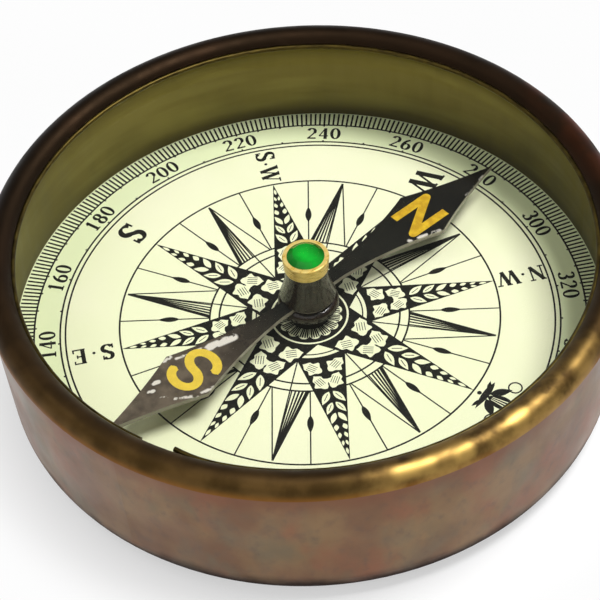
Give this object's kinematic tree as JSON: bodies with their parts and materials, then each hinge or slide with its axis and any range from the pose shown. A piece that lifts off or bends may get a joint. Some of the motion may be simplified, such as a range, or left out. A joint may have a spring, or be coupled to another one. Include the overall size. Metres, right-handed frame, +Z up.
{
  "type": "pocket compass",
  "caption": "Round antiqued-brass pocket compass: drafted cup with half-round bezel and flat glass over a printed compass-rose dial, with a jewelled needle free on a point pivot.",
  "frame": {"origin": "centre of the flat base, on the axis of the case and the pivot", "axes": "+Z up along the pivot, +Y towards the north mark of the dial, +X towards its east"},
  "size_m": [0.076, 0.076, 0.0214],
  "materials": {
    "case_brass": "antiqued copper-brown, patchy and satin",
    "bezel_brass": "dark antiqued, worn to gold along the crest",
    "sleeve_brass": "dull olive brass, satin",
    "wire_brass": "dull drawn wire",
    "window_glass": "clear flat glass",
    "dial_paper": "pale cream-green printed card",
    "plate_brass": "rolled sheet",
    "pivot_brass": "turned",
    "post_brass": "turned and antiqued dark",
    "pivot_steel": "hardened and ground",
    "needle_black": "black lacquer over steel, chipped at the edges",
    "cap_black": "glossy black lacquer over brass",
    "setting_gold": "polished gold-coloured brass",
    "stone_green": "emerald green cut glass",
    "jewel_stone": "polished agate"
  },
  "bodies": {
    "case": {"case_cup": "case_brass", "bezel_ring": "bezel_brass", "glass_window": "window_glass", "glass_wire": "wire_brass", "inner_sleeve": "sleeve_brass", "dial_card": "dial_paper", "dial_plate": "plate_brass", "dial_seat_ring": "plate_brass", "pivot_post": "post_brass", "pivot_pin": "pivot_steel", "pivot_washer": "pivot_brass", "pivot_nut": "pivot_brass"},
    "bearing": {"bearing_jewel": "jewel_stone"},
    "needle": {"needle_blade": "needle_black", "needle_cap": "cap_black", "cap_collar": "cap_black", "jewel_bush": "pivot_brass", "stone_setting": "setting_gold", "green_stone": "stone_green"}
  },
  "joints": [
    {"name": "needle_turn", "type": "hinge", "parent": "case", "child": "bearing", "pos_m": [0, 0, 0.01465], "axis": [0, 0, 1], "continuous": true},
    {"name": "needle_dip", "type": "hinge", "parent": "bearing", "child": "needle", "pos_m": [0, 0, 0.01465], "axis": [-0.2588, -0.9659, 0], "range_deg": [-6, 6]}
  ]
}
